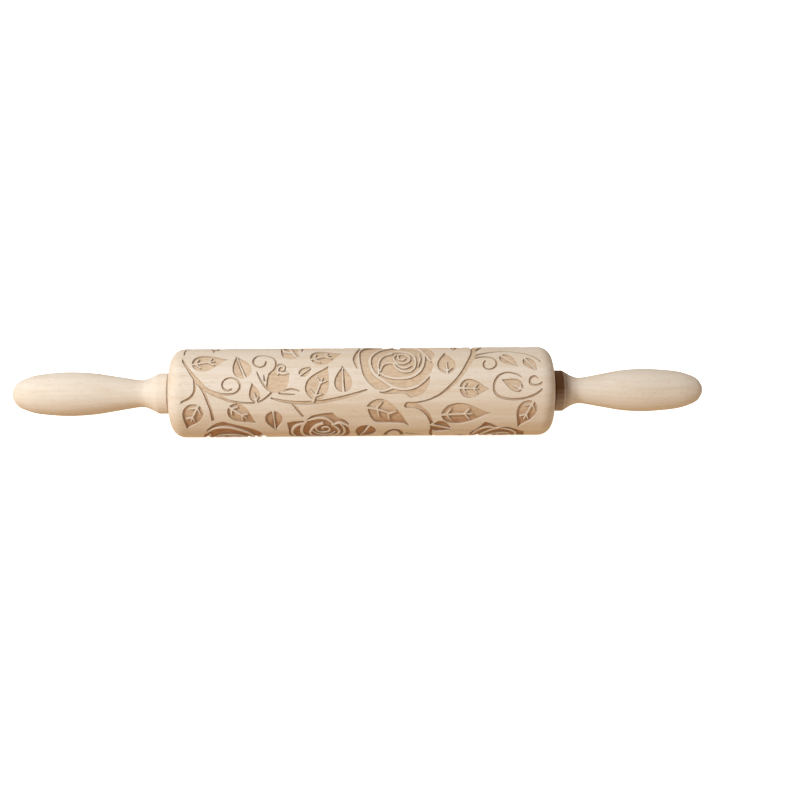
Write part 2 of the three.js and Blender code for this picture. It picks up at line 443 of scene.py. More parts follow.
def side_bud(sheet):
    """The bud near the top of the front, seen from its side."""
    sheet.cut_area(joined([
        [(-41, 24.5), (-39.9, 20.4), (-37, 18.6), (-33.9, 18.8)],
        [(-32.6, 19.8), (-31.5, 22)],
        [(-32.6, 25), (-32.2, 29), (-34.4, 33.6), (-38, 35), (-40.8, 33), (-41.4, 29)],
    ]))
    rim(sheet, 1.1, (-37.4, 34), (-36.4, 28.5), (-35.2, 24.4), (-33, 20.2))
    rim(sheet, 0.9, (-40.6, 31), (-39.4, 26.4), (-36, 24.6))


# ---- The pattern ----

STEMS = [
    # the vine that comes in from the left end, its fork, and its spiral
    [(-91, 20.3, 1.1), (-87, 13.3, 1.3), (-83.4, 8.1, 1.8), (-81, 5.2, 2.2), (-78, 2.2, 2.0),
     (-74, -0.3, 1.7), (-70, -2.2, 1.4), (-66, -3.9, 1.2), (-60, -4.9, 1.0), (-54, -5.1), (-50.4, -4.2),
     (-47.4, -2.2), (-44.6, 0.3)],
    [(-83.2, 7.7, 1.4), (-82.8, 4), (-83.2, 0.5, 1.2), (-85.4, -2.4), (-91, -5.2, 1.1)],
    [(-81.2, 4.7, 1.1), (-78.5, 0.6, 1.3), (-76.5, -4.5), (-75.2, -9), (-74.5, -14.2, 1.6)],
    [(-77.5, 1.9, 1.4), (-73, 0.1, 1.2), (-68, -0.7, 1.0), (-63.8, -0.4), (-61.3, 1.3), (-60.6, 3.8),
     (-62, 6.3), (-65, 7.4), (-68, 6.6), (-69.4, 4.2, 0.9), (-68.5, 2), (-66.5, 1.1),
     (-64.7, 1.9, 0.7)],
    # the tendril over the bud, and the stem under it
    [(-47.1, 5.6, 0.8), (-46.2, 9.3, 1.0), (-44.1, 11.6), (-43, 14.5), (-43.6, 18), (-46, 20.6),
     (-50, 21.7), (-53, 20.7), (-54.5, 17.6), (-53.5, 14.6), (-51, 13.3), (-48.7, 14.4),
     (-48, 17.4, 0.7)],
    [(-45.2, -2.7, 0.7), (-42, -3.7, 1.1), (-36, -4.8, 1.5), (-28, -5.2, 1.7), (-20, -4.6),
     (-12, -3.1, 1.6), (-5, -1.2, 1.4), (2, 1.1, 0.8)],
    [(-34.8, -5.3, 1.0), (-32.2, -8.8, 1.3), (-29.6, -12.6, 1.1)],
    # the thick vine to the right of the open rose, going up and going down
    [(21.8, -5.6, 1.0), (27, -5.4, 0.9), (33, -4), (38, -1.6, 1.0), (42, 1.4, 1.3), (46.5, 5.6, 1.7),
     (50.5, 10.8, 2.1), (53.8, 17, 2.5), (55.6, 23, 2.3), (56, 31, 2.0)],
    [(21.9, -6.9, 2.6), (25.5, -7.1, 2.4), (29, -8.7, 2.0), (32.2, -12, 1.8), (34, -16.5, 1.6),
     (34.4, -21, 1.4), (34.2, -28), (36.5, -36)],
    # its branches and curls towards the right end
    [(55.2, 19.5, 1.6), (59, 21.7, 1.4), (64, 23.3, 1.2), (70, 24.2, 1.0), (76, 23.7), (82, 21.6),
     (87, 18, 0.9), (90.5, 13.6, 0.7)],
    [(56, 23, 1.8), (57.8, 26.5, 1.6), (61, 31.5, 1.2)],
    [(54, 17.2, 1.4), (57.5, 18.8, 1.2), (61, 19.4, 1.0), (64.5, 18.7), (66.6, 16.3), (66.5, 13.5),
     (64.6, 11.6), (62, 11.3), (60.5, 12.8), (60.4, 15, 0.9), (61.4, 16.6, 0.7)],
    [(79, 6.9, 0.5), (76.5, 8.3, 0.9), (73, 9.3), (69.8, 9), (67, 7.2, 1.1), (65.2, 4), (65, 0.5),
     (66.6, -2), (70, -3.6), (75, -4.2), (80, -3.7), (85, -2), (88.5, 0.3), (91, 2.6)],
    [(91, 5.7, 1.1), (88, 3.4), (85.5, 2.8), (83.4, 3.3), (82.7, 5), (83.7, 6.8), (85.5, 7.2),
     (86.8, 6.3, 0.7)],
    # short stems at the top and the bottom of the front
    [(-1.2, 31, 0.8), (-2.6, 25, 1.2), (-3.9, 19, 1.7), (-3.7, 15.5, 1.2), (-2.7, 12.5, 0.5)],
    [(11.2, -29, 1.8), (12, -25.6), (14, -23.4), (16.5, -22.9), (18.7, -24.4), (19.6, -28.4)],
    [(21.3, -26.2, 1.0), (25, -27.6, 1.3), (30, -29.4, 0.8)],
    [(-89.3, 22.6, 0.7), (-89.6, 26), (-88.6, 31), (-85, 36, 0.9)],
    [(-30.3, 32, 1.0), (-30.6, 25.6, 0.6)],
    # the far side: the same vines carried on round the barrel
    [(56, 31, 2.0), (55, 40), (50, 48, 1.7), (42, 54), (32, 57.5, 1.4), (24, 61, 1.2)],
    [(36.5, 105.4, 1.4), (37, 100), (42, 95.5, 1.6), (50, 91.5, 1.8), (60, 86, 1.6), (72, 78),
     (91, 71, 1.3)],
    [(-91, 72, 1.3), (-80, 76, 1.6), (-68, 79.4, 1.9), (-56, 80, 1.7), (-44, 76.5), (-32, 72, 1.5),
     (-23, 64, 1.3), (-16, 54, 1.2), (-13, 44, 1.0)],
    [(-68, 79.4, 1.4), (-62, 84.5, 1.2), (-60, 90, 1.0), (-63, 94.2), (-68, 95), (-71.4, 92),
     (-70.6, 88), (-67.6, 87.4, 0.8), (-66, 89.6, 0.7)],
    [(50, 48, 1.4), (47, 42, 1.2), (41, 39.5, 1.0), (36.4, 42), (36.4, 46.4), (40, 48.4),
     (43, 46.4, 0.7)],
    [(-23, 64, 1.2), (-28, 58, 1.1), (-34, 55, 1.0), (-39, 57), (-39.6, 61.6), (-36, 63.6),
     (-33, 61.4, 0.7)],
    [(60, 86, 1.3), (66, 89, 1.1), (72, 93.4, 1.0), (80, 93), (84, 88.4), (81.4, 84.6),
     (77.6, 86, 0.7)],
]

# (base, tip, width, pairs of veins, lean, width of the midrib)
LEAVES = [
    ((-85, 15.3), (-67, 19), 11),
    ((-58, 7.3), (-63.4, 21.8), 9.3, 0),
    ((-81.3, -6), (-88.3, -20.8), 10.4, 2, -0.6),
    ((-66.4, -7), (-52.8, -17.1), 9.8),
    ((-52.6, -4.6), (-54.9, 5.2), 5.6, 1),
    ((-31.4, 8.5), (-24.6, 13.9), 4.8, 0, 0, 0.8),
    ((-24.4, -3.7), (-17, 14.1), 11.6, 2, 0.9),
    ((-9.5, -0.1), (-10, 14.3), 9, 0),
    ((-44.5, -9.3), (-43.8, -22.8), 8.8, 0),
    ((-26, 18.3), (-9.9, 23.6), 11.6),
    ((42, 9), (41.4, 23.9), 9.3, 1),
    ((3.4, -18.8), (-2.4, -33), 10.4, 0),
    ((34.8, -18.8), (45.5, -23), 9, 0),
    ((69.2, 20.7), (77.5, 12.6), 6.8, 0),
    ((81, 18.2), (87, 9.5), 5.8, 0),
    ((47.8, 1.6), (62.8, 1.1), 9.6),
    ((79.3, 0.6), (68.5, 5.8), 6.4, 1, -0.4),
    ((38.8, -12.2), (64, -11.5), 12.4, 2, 0, 1.0),
    ((84.5, -5.1), (77.4, -21), 10, 2, -0.7),
    ((-71.5, 40), (-75.2, 24.8), 8.6),
    ((48, 42), (45.8, 25), 9),
]

# (petals, rims, place of the eye, turn in degrees, size, mirrored); the last five are behind
ROSES = [
    (OPEN_PETALS, OPEN_RIMS, (19.5, 17.5)),
    (SQUARE_PETALS, SQUARE_RIMS, (-19.7, -22.6)),
    (ROUND_PETALS, ROUND_RIMS, (-65, -33)),
    (SQUARE_PETALS, SQUARE_RIMS, (70.7, -32), -39, 0.95),
    (ROUND_PETALS, ROUND_RIMS, (77, 47), 40, 0.95),
    (OPEN_PETALS, OPEN_RIMS, (-60, 58), 70, 0.8),
    (SQUARE_PETALS, SQUARE_RIMS, (6, 82), 160, 1.2, True),
    (ROUND_PETALS, ROUND_RIMS, (10, 46), 200, 0.62),
    (ROUND_PETALS, ROUND_RIMS, (-28, 93), 100, 0.72, True),
]


def broad_leaf(sheet):
    """The broad leaf below the open rose, with a flat top and a long curled tip."""
    sheet.cut_area(joined([
        [(4, -4.7), (7.5, -3.4), (11, -3.9), (15, -6.6), (18.5, -10.6), (21, -15), (23.6, -20.4)],
        [(20.5, -17.9), (14, -17.3), (7.5, -17), (4.6, -14.6), (2.9, -11), (1.9, -6.9)],
    ]))
    sheet.leave_line([(1.4, -7.8, 1.0), (6, -8.6, 1.0), (10, -9.8, 0.8), (14, -11.2, 0.5)])
    for foot, head in (
        ((6.5, -8.6), (9.3, -5)),
        ((7, -8.8), (8, -12.8)),
        ((12.5, -10.8), (13, -14.5)),
        ((13.3, -11.2), (16.5, -10)),
    ):
        sheet.leave_line([(*foot, 0.8), (*head, 0.4)])


# Places on the far side get leaves wherever a leaf of these sizes finds room.
FAR_SIDE = (31, 112)
SPARE_LEAVES = [(17, 10, 140), (13, 8, 320), (9, 5.6, 420), (6.5, 4, 500)]  # (length, width, tries)
LEAF_CLEARANCE = 1.2
LEAF_ENDS = (86, 87)  # how far along the barrel a spare leaf's base and tip may be
SEED = 17


def fill_far_side(sheet):
    """Leaves of falling size in the room that the stems and roses leave, always the same."""
    rng = random.Random(SEED)
    for length, width, tries in SPARE_LEAVES:
        for _ in range(tries):
            u = rng.uniform(-LEAF_ENDS[0], LEAF_ENDS[0])
            v = rng.uniform(*FAR_SIDE)
            angle = rng.uniform(0, 2 * math.pi)
            tip = (u + length * math.cos(angle), v + length * math.sin(angle))
            if abs(tip[0]) > LEAF_ENDS[1] or not FAR_SIDE[0] < tip[1] < FAR_SIDE[1]:
                continue
            edge = leaf_outline((u, v), tip, width / 2, width / 2)
            middle = (np.array([u, v]) + tip) / 2
            tests = set_down(np.vstack([edge, (edge + middle) / 2]))
            if sheet.at(tests[:, 0], tests[:, 1]).min() < LEAF_CLEARANCE:
                continue
            leaf(sheet, (u, v), tip, width, veins=2 if length > 12 else 0, rib=0.65 + length / 60)


def draw_pattern():
    sheet = Sheet()
    for stem in STEMS:
        line(sheet, *stem)
    rosebud(sheet)
    side_bud(sheet)
    broad_leaf(sheet)
    for row in LEAVES:
        leaf(sheet, *row)
    for row in ROSES:
        rose(sheet, *row)
    fill_far_side(sheet)
    sheet.keep_ends()
    return sheet


# ---- From the drawn field to a mesh ----

CONTOUR_SLACK = 0.018  # how far a simplified contour may stray
MERGE = 1e-5  # points of the sheet closer than this are one
ENDS_AROUND = 192  # corners round each end of the straight part
ROUND_STEPS = 9
FACE_RING = 12.5  # radius of a ring that breaks up the flat end face
BARREL_CREASE = 35  # edges sharper than this, in degrees, look sharp
SEAM_STEP = 1.5  # spacing of the points where the sheet's two long sides meet
SEAM_CLEARANCE = 0.3  # and how far they keep from a contour that crosses there
FILL_STEP = (1.5, 1.0)  # spacing along and round of the points between contours
FILL_CLEARANCE = 0.25  # and how far they keep from a contour
FILL_EDGE = 0.5  # a row of them stops this far from the end of the straight part
WELD_GRID = 1e4  # steps in a millimetre; points on the same step are one


def crossings(field, level):
    """Marching squares: the points where the field crosses a level, and the pairs to join."""
    f = field - level
    below = f < 0
    flat = below[:, :-1] != below[:, 1:]
    upright = below[:-1] != below[1:]
    flat_id = np.full(flat.shape, -1)
    upright_id = np.full(upright.shape, -1)
    flat_id[flat] = np.arange(flat.sum())
    upright_id[upright] = flat.sum() + np.arange(upright.sum())
    j, i = np.nonzero(flat)
    across = np.stack([i + f[j, i] / (f[j, i] - f[j, i + 1]), j], 1)
    j, i = np.nonzero(upright)
    up = np.stack([i, j + f[j, i] / (f[j, i] - f[j + 1, i])], 1)
    points = np.vstack([across, up])
    sides = np.stack([flat_id[:-1], upright_id[:, 1:], flat_id[1:], upright_id[:, :-1]], -1)
    count = (sides >= 0).sum(-1)
    pairs = [np.sort(sides[count == 2], -1)[:, 2:]]
    saddle = count == 4
    if saddle.any():
        four = sides[saddle]
        middle = (f[:-1, :-1] + f[1:, :-1] + f[:-1, 1:] + f[1:, 1:])[saddle] < 0
        same = middle == below[:-1, :-1][saddle]
        pairs.append(np.where(same[:, None], four[:, [0, 1]], four[:, [0, 3]]))
        pairs.append(np.where(same[:, None], four[:, [3, 2]], four[:, [1, 2]]))
    return points, np.vstack(pairs)


def chains(count, pairs):
    """Joins pairs into runs of indices. A closed run repeats its first index at its end."""
    links = [[] for _ in range(count)]
    for a, b in pairs.tolist():
        links[a].append(b)
        links[b].append(a)
    used = [False] * count
    runs = []
    order = sorted(range(count), key=lambda n: len(links[n]) != 1)
    for start in order:
        if used[start]:
            continue
        run = [start]
        used[start] = True
        here = start
        while True:
            onward = [n for n in links[here] if not used[n]]
            if not onward:
                break
            here = onward[0]
            used[here] = True
            run.append(here)
        if len(run) > 2 and start in links[here]:
            run.append(start)
        runs.append(run)
    return runs


def thin(points, slack):
    """Douglas-Peucker: keeps only the points that the run's shape needs."""
    keep = np.zeros(len(points), bool)
    keep[0] = keep[-1] = True
    spans = [(0, len(points) - 1)]
    if np.allclose(points[0], points[-1]):
        far = int(np.argmax(np.hypot(*(points - points[0]).T)))
        keep[far] = True
        spans = [(0, far), (far, len(points) - 1)]
    while spans:
        first, last = spans.pop()
        if last - first < 2:
            continue
        a, b = points[first], points[last]
        d = b - a
        inner = points[first + 1:last]
        off = np.abs((inner[:, 0] - a[0]) * d[1] - (inner[:, 1] - a[1]) * d[0]) / max(np.hypot(*d), 1e-9)
        worst = int(np.argmax(off))
        if off[worst] > slack:
            split = first + 1 + worst
            keep[split] = True
            spans += [(first, split), (split, last)]
    return points[keep]


def relief_sheet(sheet):
    """Points (u, v), their share of the full depth, and triangles of the unrolled relief."""
    half = sheet.rows // 2
    field = np.roll(sheet.field, half, 0)
    field = np.vstack([field, field[:1]])
    scale = np.array([sheet.u[1] - sheet.u[0], sheet.step])
    corner = np.array([-STRAIGHT, -GIRTH / 2])
    points, edges, marks = [], [], []
    seam = []

    def add_run(run, mark):
        first = len(points)
        points.extend(map(tuple, run))
        marks.extend([mark] * len(run))
        edges.extend((first + k, first + k + 1) for k in range(len(run) - 1))

    for level, mark in ((0.0, 0.0), (-WALL, 1.0)):
        found, pairs = crossings(field, level)
        found = found * scale + corner
        for run in chains(len(found), pairs):
            run = thin(found[run], CONTOUR_SLACK)
            add_run(run, mark)
            for end in (run[0], run[-1]):
                if abs(abs(end[1]) - GIRTH / 2) < 1e-6:
                    seam.append(end[0])

    def share(u, v):
        return np.clip(-sheet.at(u, v) / WALL, 0, 1)

    # the borders: the two ends, and the seam, where both sides get the same points
    crossed = np.unique(np.round(seam, 6))
    steps = np.linspace(-STRAIGHT, STRAIGHT, round(2 * STRAIGHT / SEAM_STEP) + 1)
    spare = [s for s in steps if not len(crossed) or np.abs(crossed - s).min() > SEAM_CLEARANCE]
    along = np.sort(np.concatenate([crossed, spare]))
    known = {round(float(s), 6) for s in crossed}
    around = np.linspace(-GIRTH / 2, GIRTH / 2, ENDS_AROUND + 1)
    for v in (-GIRTH / 2, GIRTH / 2):
        first = len(points)
        points.extend((float(u), v) for u in along)
        marks.extend(None if round(float(u), 6) in known else float(share(u, v)) for u in along)
        edges.extend((first + k, first + k + 1) for k in range(len(along) - 1))
    for u in (-STRAIGHT, STRAIGHT):
        add_run([(u, v) for v in around], 0.0)

    # staggered points between the contours, which carry the barrel's roundness
    rows = np.arange(-GIRTH / 2 + FILL_STEP[1], GIRTH / 2 - FILL_STEP[1] / 2, FILL_STEP[1])
    for n, v in enumerate(rows):
        start = -STRAIGHT + FILL_STEP[0] * (0.5 + 0.5 * (n % 2))
        u = np.arange(start, STRAIGHT - FILL_EDGE, FILL_STEP[0])
        f = sheet.at(u, np.full(len(u), v))
        clear = (f > FILL_CLEARANCE) | (f < -WALL - FILL_CLEARANCE)
        points.extend((float(x), float(v)) for x in u[clear])
        marks.extend(np.clip(-f[clear] / WALL, 0, 1).tolist())

    points = [Vector(p) for p in points]
    flat, _, faces, origins, _, _ = delaunay_2d_cdt(points, edges, [], 0, MERGE, True)
    flat = np.array([tuple(p) for p in flat])
    depth = share(flat[:, 0], flat[:, 1])
    for n, origin in enumerate(origins):
        said = [marks[k] for k in origin if marks[k] is not None]
        if said:
            depth[n] = said[0]
    return flat, depth, np.array(faces)


def wrap(flat, depth):
    """Points of the unrolled sheet, wrapped round the barrel."""
    angle = FACING + flat[:, 1] / BARREL_RADIUS
    radius = BARREL_RADIUS - ENGRAVED_DEPTH * depth
    return np.stack([BARREL_MIDDLE + flat[:, 0], -radius * np.cos(angle), radius * np.sin(angle)], 1)


def turned(outline_points, count, first_angle=0.0):
    """Rings of a turned surface about X, from (x, radius) points, and the quads between them."""
    angle = first_angle + np.arange(count) * 2 * math.pi / count
    rings = []
    for x, radius in outline_points:
        rings.append(np.stack([np.full(count, x), -radius * np.cos(angle), radius * np.sin(angle)], 1))
    here = np.arange(count)
    onward = (here + 1) % count
    faces = []
    for k in range(len(outline_points) - 1):
        a, b = k * count, (k + 1) * count
        faces.append(np.stack([a + here, a + onward, b + onward, b + here], 1))
    return np.vstack(rings), np.vstack(faces)


def end_outline():
    """From the straight part round the edge, down the end face and into the bore."""
    arc = [
        (STRAIGHT + END_ROUND * math.sin(a), BARREL_RADIUS - END_ROUND + END_ROUND * math.cos(a))
        for a in np.linspace(0, math.pi / 2, ROUND_STEPS)
    ]
    face = [(BARREL_HALF, FACE_RING)]
    seat = [(BARREL_HALF - depth, radius) for radius, depth in SEAT]
    return arc + face + seat + [(0, SEAT[-1][0])]


def weld(points, faces, values):
    """Merges points that lie on each other. There is one value for each point."""
    keys = np.round(points * WELD_GRID).astype(np.int64)
    _, first, where = np.unique(keys, axis=0, return_index=True, return_inverse=True)
    where = where.reshape(-1)
    merged = []
    for face in faces:
        corners = [int(where[c]) for c in face]
        if len(set(corners)) == len(corners):
            merged.append(corners)
        elif len(set(corners)) == 3:
            merged.append(list(dict.fromkeys(corners)))
    return points[first], merged, values[first]


def make_mesh(name, points, faces, crease):
    """A smooth-shaded object, sharp where faces meet at more than crease degrees."""
    mesh = bpy.data.meshes.new(name)
    mesh.from_pydata((points * MM).tolist(), [], faces)
    mesh.shade_smooth()
    mesh.set_sharp_from_angle(angle=math.radians(crease))
    return new_object(name, mesh)


def make_barrel():
    sheet = draw_pattern()
    flat, depth, triangles = relief_sheet(sheet)
    points = [wrap(flat, depth)]
    cut = [depth]
    faces = triangles.tolist()
    start = FACING - math.pi
    for side in (-1, 1):
        ring_points, quads = turned(end_outline(), ENDS_AROUND, start)
        ring_points[:, 0] = BARREL_MIDDLE + side * ring_points[:, 0]
        if side > 0:
            quads = quads[:, ::-1]
        base = sum(len(p) for p in points)
        points.append(ring_points)
        cut.append(np.zeros(len(ring_points)))
        faces += (quads + base).tolist()
    points, faces, cut = weld(np.vstack(points), faces, np.concatenate(cut))
    piece = make_mesh("engraved_barrel", points, faces, BARREL_CREASE)
    layer = piece.data.attributes.new("cut", "FLOAT", "POINT")
    layer.data.foreach_set("value", cut.astype(np.float32))
    return piece


# ---- Handles ----

HANDLE_AROUND = 128
HANDLE_STEPS = 8  # between two points of the grip's outline
HANDLE_CREASE = 30
COLLAR_RING = 8.0
CAP = 0.01  # radius of the tiny cap that closes an outline on the axis


def grip_outline(length, belly, belly_at, neck, neck_from_face, collar):
    """(distance from the tip, radius) along the grip, from its flat nose to the collar."""
    neck_at = length - neck_from_face
    swell = belly_at * neck_at
    taper = neck_at - swell
    cove_end = length - collar
    return smooth([
        (0, NOSE_RADIUS),
        (0.085 * swell, 0.54 * belly),
        (0.25 * swell, 0.745 * belly),
        (0.5 * swell, 0.9 * belly),
        (swell, belly),
        (swell + 0.36 * taper, 0.945 * belly),
        (swell + 0.7 * taper, 0.45 * belly + 0.52 * neck),
        (neck_at, neck),
        (0.5 * (neck_at + cove_end), neck + 0.9),
        (cove_end, COVE_TOP),
    ], per=HANDLE_STEPS)


def make_handle(name):
    low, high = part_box(name)
    length = (high.x - low.x) / MM
    left = low.x < 0
    tip = (low.x if left else high.x) / MM
    collar = [
        (length - HANDLES[name]["collar"] + COLLAR_CHAMFER, COLLAR_RADIUS),
        (length - COLLAR_CHAMFER, COLLAR_RADIUS),
        (length, COLLAR_RADIUS - COLLAR_CHAMFER),
        (length, COLLAR_RING),
        (length, HANDLE_HOLE[0][0]),
    ]
    hole = [(length - depth, max(radius, CAP)) for radius, depth in HANDLE_HOLE]
    nose = [(0, CAP), (0, 0.7 * NOSE_RADIUS), *grip_outline(length, **HANDLES[name])]
    points, quads = turned(nose + collar + hole, HANDLE_AROUND)
    side = 1 if left else -1
    points[:, 0] = tip + side * points[:, 0]
    if left:
        quads = quads[:, ::-1]
    faces = quads.tolist()
    last = len(points) - HANDLE_AROUND
    caps = [list(range(HANDLE_AROUND)), list(range(last, last + HANDLE_AROUND))[::-1]]
    faces += [cap if left else cap[::-1] for cap in caps]
    return make_mesh("turned_" + name, points, faces, HANDLE_CREASE)


# ---- Materials ----


class Nodes:
    """A short way to write the nodes of a material or a world."""

    def __init__(self, owner):
        owner.use_nodes = True
        self.owner = owner
        self.tree = owner.node_tree
        self.places = self.make("TexCoord")

    def link(self, value, socket):
        """Feeds a socket from a node's output, or sets it to a number, vector or colour."""
        if hasattr(value, "links"):
            self.tree.links.new(value, socket)
        elif isinstance(value, tuple):
            socket.default_value = (*value, 1.0)[:len(socket.default_value)]
        else:
            socket.default_value = value

    def make(self, kind, *feeds, **values):
        """Makes a node and gives its outputs. The feeds go to its first sockets in turn.

        A value whose name has a capital goes to that socket, any other is a setting.
        """
        node = self.tree.nodes.new("ShaderNode" + kind)
        for key, value in values.items():
            if key[0].isupper():
                self.link(value, node.inputs[key.replace("_", " ")])
            else:
                setattr(node, key, value)
        for value, socket in zip(feeds, node.inputs):
            self.link(value, socket)
        return node.outputs

    def scaled(self, x, y, z, shift=(0, 0, 0)):
        """Object coordinates, times cycles per millimetre along each axis."""
        scale = (x / MM, y / MM, z / MM)
        return self.make("Mapping", self.places["Object"], Scale=scale, Location=shift)[0]

    def noise(self, place, detail, roughness=0.5, distortion=0.0):
        kind = dict(Detail=detail, Roughness=roughness, Distortion=distortion)
        return self.make("TexNoise", place, Scale=1.0, **kind)[0]

    def math(self, operation, a, b=0.0, clamp=False):
        return self.make("Math", a, b, operation=operation, use_clamp=clamp)[0]

    def weighted(self, *terms):
        """The sum of (value, factor) pairs."""
        total = None
        for value, factor in terms:
            part = self.math("MULTIPLY", value, factor)
            total = part if total is None else self.math("ADD", total, part)
        return total

    def towards(self, direction):
        """How far a point is from the pin's axis in a (Y, Z) direction, in millimetres."""
        _, y, z = self.make("SeparateXYZ", self.places["Object"])
        return self.weighted((y, direction[0] / MM), (z, direction[1] / MM))

    def ramp(self, value, low, high, first=0.0, last=1.0, kind="SMOOTHSTEP"):
        """Maps low..high to first..last, clamped."""
        return self.make("MapRange", value, low, high, first, last, interpolation_type=kind)[0]

    def mix(self, share, a, b):
        outputs = self.make("Mix", share, data_type="RGBA")
        for value, socket in zip((a, b), outputs[2].node.inputs[6:]):
            self.link(value, socket)
        return outputs[2]

    def bump(self, height, distance):
        return self.make("Bump", Height=height, Distance=distance * MM)[0]

    def finish(self, color, roughness, **values):
        """Sets the material's shader, and gives the material."""
        inputs = self.tree.nodes["Principled BSDF"].inputs
        for key, value in {"Base_Color": color, "Roughness": roughness, **values}.items():
            self.link(value, inputs[key.replace("_", " ")])
        return self.owner


def material(name):
    return Nodes(bpy.data.materials.new(name))


def linear(red, green, blue):
    """A linear colour from the usual 0 to 255 screen values."""
    out = []
    for value in (red, green, blue):
        value /= 255
        out.append(value / 12.92 if value <= 0.04045 else ((value + 0.055) / 1.055) ** 2.4)
    return tuple(out)


PALE = linear(219, 206, 189)
WARM = linear(212, 194, 171)
FIBRE = linear(198, 174, 144)
FLECK = linear(176, 144, 109)
SCORCHED = linear(208, 184, 154)
# the darker burn; towards the underside it also stands for painted shade
CHARRED_AND_SHADED = linear(158, 106, 60)
# the brown of the char on the cut walls, and of the painted shadow on the right collar
CHAR_AND_SHADOW_BROWN = linear(106, 68, 26)

# The wood's layers of noise: cycles per millimetre along and across the grain, detail, distortion.
GRAIN = {
    "bands": (0.012, 0.16, 3, 0.6),
    "streaks": (0.03, 0.9, 3, 0),
    "fibres": (0.12, 5.0, 2, 0),
    "flecks": (0.3, 2.6, 1, 0),
    "pores": (0.9, 9.0, 1, 0),
    "sanding": (3.2, 0.12, 2, 0),
}
# Where in its range a layer starts and stops tinting the wood, how strongly, and with what.
TINTS = {
    "streaks": (0.52, 0.75, 0.15, FIBRE),
    "fibres": (0.5, 0.8, 0.18, FIBRE),
    "flecks": (0.64, 0.74, 0.4, FLECK),
    "pores": (0.66, 0.76, 0.3, FLECK),
    "sanding": (0.55, 0.8, 0.12, FIBRE),
}
ROUGHENING = {"fibres": 0.5, "pores": -0.5, "sanding": 0.35}  # how much a layer raises the surface
GRAIN_HEIGHT = 0.07
PITH = (13, 27)  # how far beside and above the middle of the tree the piece was
RING_RATE = 2.4  # of the growth rings, in radians per millimetre from the middle of the tree
RING_WAVER = 9
SHADED_UNDERSIDE = (-0.75, -0.66)  # the engraved floors get painted shade, darkest towards this side of the barrel, the underside, in Y and Z
COLLAR_SHADOW_SIDE = (0.57, 0.82)  # and the painted shadow of the barrel lies darkest on this side of the right handle's collar, its top
COLLAR = HANDLES["right_handle"]["collar"]
COLLAR_SHADOW_FADES = (2.5, 9.5)  # how far from the collar's face the painted shadow of the barrel starts to fade and is gone
WOOD_GLOSS = 0.32


def grain(n, tone, shift):
    """The colour and height of pale sanded beech with its grain along X, and its layers."""
    layers = {
        name: n.noise(n.scaled(along, across, across, shift), detail, distortion=distortion)
        for name, (along, across, detail, distortion) in GRAIN.items()
    }
    bands = layers["bands"]
    color = n.mix(n.ramp(bands, 0.35 - tone, 0.7 - tone), PALE, WARM)
    in_tree = n.scaled(0.02, 1, 1, (0, PITH[0] + shift[1], PITH[1] + shift[2]))
    from_pith = n.make("VectorMath", in_tree, operation="LENGTH")["Value"]
    rings = n.math("SINE", n.weighted((from_pith, RING_RATE), (bands, RING_WAVER)))
    color = n.mix(n.ramp(rings, 0.1, 1.0, 0, 0.12), color, FIBRE)
    for name, (low, high, share, tint) in TINTS.items():
        color = n.mix(n.ramp(layers[name], low, high, 0, share), color, tint)
    height = n.weighted(*((layers[name], share) for name, share in ROUGHENING.items()))
    return color, height, layers


def engrave(n, color, height, roughness, shift):
    """Burns the floors of the cuts and chars their walls, going by the mesh's own depths, and paints
    shade on the floors towards the underside.
    """
    cut = n.make("Attribute", attribute_name="cut")["Fac"]
    floor = n.ramp(cut, 0.55, 1.0)
    wall = n.math("MULTIPLY", n.ramp(cut, 0.1, 0.5), n.ramp(cut, 0.85, 1.0, 1, 0))
    soot = n.noise(n.scaled(0.25, 0.9, 0.9, shift), detail=4, roughness=0.6)
    # painted shade: the floors that face down are darker; the soot noise is real char
    side = n.ramp(n.towards(SHADED_UNDERSIDE), 10, 22, 0, 0.8)
    burnt_and_shaded = n.mix(n.math("ADD", n.ramp(soot, 0.35, 0.75, 0, 0.4), side, clamp=True), SCORCHED, CHARRED_AND_SHADED)
    color = n.mix(n.math("MULTIPLY", floor, 0.9), color, burnt_and_shaded)
    color = n.mix(n.math("MULTIPLY", wall, 0.5), color, CHAR_AND_SHADOW_BROWN)
    rough_floor = n.noise(n.scaled(0.7, 3.4, 3.4, shift), detail=3)
    height = n.math("ADD", height, n.math("MULTIPLY", n.math("MULTIPLY", rough_floor, floor), 2.2))
    roughness = n.math("ADD", roughness, n.math("MULTIPLY", floor, 0.2))
    return color, height, roughness


def paint_collar_shadow(n, color, streaks, face):
    """Paints the barrel's shadow on the collar in brown, darkest on its top and fading out towards the
    neck, with a painted highlight along the collar's edge.
    """
    x = n.make("SeparateXYZ", n.places["Object"])["X"]
    along = n.math("SUBTRACT", n.math("MULTIPLY", x, 1 / MM), face)
    from_highlight_edge = n.math("ABSOLUTE", n.math("SUBTRACT", along, COLLAR))
    # the painted shadow is darkest on the collar's top
    side = n.ramp(n.towards(COLLAR_SHADOW_SIDE), -9, 5, 0.6, 1.12)
    patchy = n.math("MULTIPLY", side, n.ramp(streaks, 0.3, 0.7, 0.92, 1.06))
    collar_shadow = n.math("MULTIPLY", n.ramp(along, *COLLAR_SHADOW_FADES, 1, 0), patchy, clamp=True)
    # a thin line along the collar's edge is left paler: a painted highlight
    return n.mix(n.math("MULTIPLY", collar_shadow, n.ramp(from_highlight_edge, 0.15, 0.55, 0.6, 1)), color, CHAR_AND_SHADOW_BROWN)


